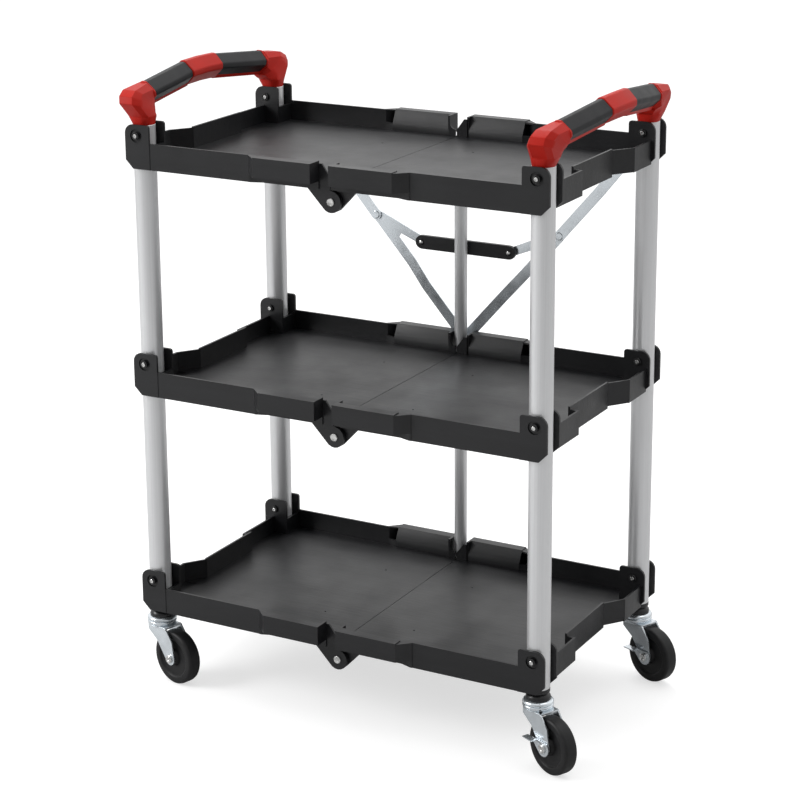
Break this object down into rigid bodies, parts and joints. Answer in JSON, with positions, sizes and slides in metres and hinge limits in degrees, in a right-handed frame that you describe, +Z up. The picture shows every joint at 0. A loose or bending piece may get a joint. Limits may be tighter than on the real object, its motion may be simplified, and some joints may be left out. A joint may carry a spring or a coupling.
{
  "type": "folding service cart",
  "caption": "Folding service cart: tubular end frames carry hinged tray shelves, with a braced centre post at the back, grip handles and swivel castors.",
  "frame": {"origin": "on the floor, under the middle of the whole cart's box, which the turned castors put 15.8 mm to the right of and 3.0 mm behind the middle of the four legs", "axes": "+X along the long side towards the right end frame, +Y towards the back, where the centre post is, +Z up"},
  "size_m": [0.7192, 0.422, 0.8938],
  "materials": {
    "tray_plastic": "fine-grained black moulding",
    "tube_aluminium": "satin anodised",
    "zinc_steel": "bright zinc plated",
    "handle_red": "satin red moulding",
    "grip_rubber": "soft matt grip",
    "wheel_rubber": "black wheel, satin sides"
  },
  "bodies": {
    "frame_left": {"leg_front_left": "tube_aluminium", "leg_back_left": "tube_aluminium", "castor_stem_front_left": "zinc_steel", "castor_stem_back_left": "zinc_steel", "handle_left": "handle_red", "grip_front_left": "grip_rubber", "grip_back_left": "grip_rubber", "leg_bolt_front_left_bottom": "zinc_steel", "leg_bolt_front_left_middle": "zinc_steel", "leg_bolt_front_left_top": "zinc_steel", "leg_bolt_back_left_bottom": "zinc_steel", "leg_bolt_back_left_middle": "zinc_steel", "brace_bolt_left": "zinc_steel"},
    "frame_right": {"leg_front_right": "tube_aluminium", "leg_back_right": "tube_aluminium", "castor_stem_front_right": "zinc_steel", "castor_stem_back_right": "zinc_steel", "handle_right": "handle_red", "grip_front_right": "grip_rubber", "grip_back_right": "grip_rubber", "leg_bolt_front_right_bottom": "zinc_steel", "leg_bolt_front_right_middle": "zinc_steel", "leg_bolt_front_right_top": "zinc_steel", "leg_bolt_back_right_bottom": "zinc_steel", "leg_bolt_back_right_middle": "zinc_steel", "brace_bolt_right": "zinc_steel"},
    "half_bottom_left": {"tray_bottom_left": "tray_plastic", "hinge_pin_front_bottom": "zinc_steel", "hinge_pin_back_bottom": "zinc_steel"},
    "half_bottom_right": {"tray_bottom_right": "tray_plastic"},
    "half_middle_left": {"tray_middle_left": "tray_plastic", "hinge_pin_front_middle": "zinc_steel", "hinge_pin_back_middle": "zinc_steel"},
    "half_middle_right": {"tray_middle_right": "tray_plastic"},
    "half_top_left": {"tray_top_left": "tray_plastic", "hinge_pin_front_top": "zinc_steel", "hinge_pin_back_top": "zinc_steel"},
    "half_top_right": {"tray_top_right": "tray_plastic"},
    "post": {"centre_post": "tube_aluminium", "brace_pivot_pin": "zinc_steel"},
    "bar": {"pull_bar": "tray_plastic"},
    "link_left": {"upper_link_left": "zinc_steel"},
    "yoke_left": {"brace_yoke_left": "zinc_steel"},
    "link_right": {"upper_link_right": "zinc_steel"},
    "yoke_right": {"brace_yoke_right": "zinc_steel"},
    "castor_front_left": {"castor_fork_front_left": "zinc_steel", "axle_front_left": "zinc_steel"},
    "wheel_front_left": {"wheel_front_left": "wheel_rubber"},
    "castor_back_left": {"castor_fork_back_left": "zinc_steel", "axle_back_left": "zinc_steel"},
    "wheel_back_left": {"wheel_back_left": "wheel_rubber"},
    "castor_back_right": {"castor_fork_back_right": "zinc_steel", "axle_back_right": "zinc_steel"},
    "wheel_back_right": {"wheel_back_right": "wheel_rubber"},
    "castor_front_right": {"castor_fork_front_right": "zinc_steel", "axle_front_right": "zinc_steel"},
    "wheel_front_right": {"wheel_front_right": "wheel_rubber"},
    "brake_front_right": {"brake_lever_front_right": "zinc_steel"},
    "brake_back_right": {"brake_lever_back_right": "zinc_steel"}
  },
  "joints": [
    {"name": "fold_middle", "type": "hinge", "parent": "frame_left", "child": "half_middle_left", "pos_m": [-0.32078, -0.00298, 0.484], "axis": [0, -1, 0], "range_deg": [0, 78]},
    {"name": "fold_bottom", "type": "hinge", "parent": "frame_left", "child": "half_bottom_left", "pos_m": [-0.32078, -0.00298, 0.156], "axis": [0, -1, 0], "range_deg": [0, 78]},
    {"name": "fold_top", "type": "hinge", "parent": "frame_left", "child": "half_top_left", "pos_m": [-0.32078, -0.00298, 0.812], "axis": [0, -1, 0], "range_deg": [0, 78]},
    {"name": "centre_hinge_bottom", "type": "hinge", "parent": "half_bottom_left", "child": "half_bottom_right", "pos_m": [-0.01578, -0.00298, 0.093], "axis": [0, -1, 0], "range_deg": [-156, 0]},
    {"name": "centre_hinge_middle", "type": "hinge", "parent": "half_middle_left", "child": "half_middle_right", "pos_m": [-0.01578, -0.00298, 0.421], "axis": [0, -1, 0], "range_deg": [-156, 0]},
    {"name": "centre_hinge_top", "type": "hinge", "parent": "half_top_left", "child": "half_top_right", "pos_m": [-0.01578, -0.00298, 0.749], "axis": [0, -1, 0], "range_deg": [-156, 0]},
    {"name": "right_frame_turn", "type": "hinge", "parent": "half_middle_right", "child": "frame_right", "pos_m": [0.28922, -0.00298, 0.484], "axis": [0, -1, 0], "range_deg": [0, 78]},
    {"name": "post_turn", "type": "hinge", "parent": "half_middle_left", "child": "post", "pos_m": [-0.01578, 0.19102, 0.421], "axis": [0, -1, 0], "range_deg": [-78, 0]},
    {"name": "link_turn_left", "type": "hinge", "parent": "frame_left", "child": "link_left", "pos_m": [-0.32078, 0.18622, 0.812], "axis": [0, -1, 0], "range_deg": [-24.41, 0]},
    {"name": "yoke_turn_left", "type": "hinge", "parent": "post", "child": "yoke_left", "pos_m": [-0.01578, 0.20352, 0.462], "axis": [0, -1, 0], "range_deg": [0, 123.89]},
    {"name": "link_turn_right", "type": "hinge", "parent": "frame_right", "child": "link_right", "pos_m": [0.28922, 0.18622, 0.812], "axis": [0, -1, 0], "range_deg": [0, 24.41]},
    {"name": "yoke_turn_right", "type": "hinge", "parent": "post", "child": "yoke_right", "pos_m": [-0.01578, 0.20352, 0.462], "axis": [0, -1, 0], "range_deg": [-123.89, 0]},
    {"name": "bar_lift", "type": "slide", "parent": "post", "child": "bar", "axis": [0, 0, 1], "range_m": [0, 0.015]},
    {"name": "swivel_front_left", "type": "hinge", "parent": "frame_left", "child": "castor_front_left", "pos_m": [-0.32078, -0.17098, 0.091], "axis": [0, 0, 1], "continuous": true},
    {"name": "roll_front_left", "type": "hinge", "parent": "castor_front_left", "child": "wheel_front_left", "pos_m": [-0.28901, -0.17991, 0.04], "axis": [0.2706, 0.9627, 0], "continuous": true},
    {"name": "swivel_back_left", "type": "hinge", "parent": "frame_left", "child": "castor_back_left", "pos_m": [-0.32078, 0.16502, 0.091], "axis": [0, 0, 1], "continuous": true},
    {"name": "roll_back_left", "type": "hinge", "parent": "castor_back_left", "child": "wheel_back_left", "pos_m": [-0.28958, 0.15427, 0.04], "axis": [0.3256, 0.9455, 0], "continuous": true},
    {"name": "swivel_back_right", "type": "hinge", "parent": "frame_right", "child": "castor_back_right", "pos_m": [0.28922, 0.16502, 0.091], "axis": [0, 0, 1], "continuous": true},
    {"name": "roll_back_right", "type": "hinge", "parent": "castor_back_right", "child": "wheel_back_right", "pos_m": [0.31988, 0.15282, 0.04], "axis": [0.3697, 0.9291, 0], "continuous": true},
    {"name": "brake_press_back_right", "type": "hinge", "parent": "castor_back_right", "child": "brake_back_right", "pos_m": [0.31988, 0.15282, 0.04], "axis": [-0.3697, -0.9291, 0], "range_deg": [0, 20]},
    {"name": "swivel_front_right", "type": "hinge", "parent": "frame_right", "child": "castor_front_right", "pos_m": [0.28922, -0.17098, 0.091], "axis": [0, 0, 1], "continuous": true},
    {"name": "roll_front_right", "type": "hinge", "parent": "castor_front_right", "child": "wheel_front_right", "pos_m": [0.31895, -0.18529, 0.04], "axis": [0.4337, 0.9011, 0], "continuous": true},
    {"name": "brake_press_front_right", "type": "hinge", "parent": "castor_front_right", "child": "brake_front_right", "pos_m": [0.31895, -0.18529, 0.04], "axis": [-0.4337, -0.9011, 0], "range_deg": [0, 20]}
  ],
  "couplings": [
    {"joint": "fold_bottom", "follows": "fold_middle", "ratio": 1},
    {"joint": "fold_top", "follows": "fold_middle", "ratio": 1},
    {"joint": "centre_hinge_bottom", "follows": "fold_middle", "ratio": -2},
    {"joint": "centre_hinge_middle", "follows": "fold_middle", "ratio": -2},
    {"joint": "centre_hinge_top", "follows": "fold_middle", "ratio": -2},
    {"joint": "right_frame_turn", "follows": "fold_middle", "ratio": 1},
    {"joint": "post_turn", "follows": "fold_middle", "ratio": -1},
    {"joint": "link_turn_left", "follows": "fold_middle", "ratio": -0.31292},
    {"joint": "yoke_turn_left", "follows": "fold_middle", "ratio": 1.5883},
    {"joint": "link_turn_right", "follows": "fold_middle", "ratio": 0.31292},
    {"joint": "yoke_turn_right", "follows": "fold_middle", "ratio": -1.5883}
  ]
}
